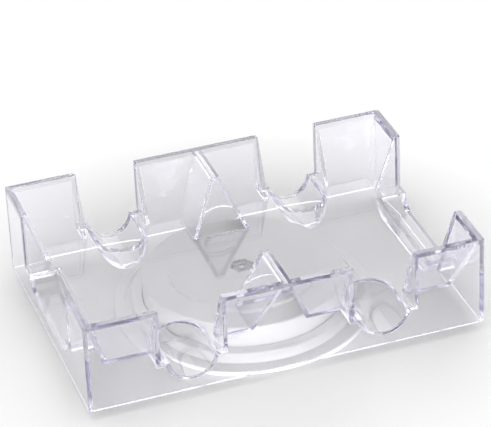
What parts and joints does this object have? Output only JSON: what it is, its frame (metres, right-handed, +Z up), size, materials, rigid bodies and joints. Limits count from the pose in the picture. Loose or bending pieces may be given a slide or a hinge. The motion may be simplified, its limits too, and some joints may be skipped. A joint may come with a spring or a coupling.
{
  "type": "rotating playing card tray",
  "caption": "Clear low tray with sloped wells side by side for decks of playing cards, finger notches in its walls, turning on a round white turntable.",
  "frame": {"origin": "on the table under the pivot axis, at the middle of the tray", "axes": "+X along the row of wells, +Y along a card's length towards the back, +Z up along the pivot"},
  "size_m": [0.184, 0.127, 0.048],
  "materials": {
    "clear_plastic": "clear polished moulding, faintly violet where seen edge on",
    "white_plastic": "white satin moulding",
    "bush_plastic": "natural acetal",
    "plated_steel": "bright zinc plate",
    "foot_rubber": "dark matt rubber pad"
  },
  "bodies": {
    "base": {"turntable_base": "white_plastic", "foot_1": "foot_rubber", "foot_2": "foot_rubber", "foot_3": "foot_rubber", "foot_4": "foot_rubber"},
    "tray": {"card_tray": "clear_plastic", "swivel_drum": "white_plastic", "pivot_bush": "bush_plastic", "pivot_washer": "plated_steel", "pivot_screw": "plated_steel"}
  },
  "joints": [
    {"name": "tray_spin", "type": "hinge", "parent": "base", "child": "tray", "pos_m": [0, 0, 0.0065], "axis": [0, 0, 1], "continuous": true}
  ]
}
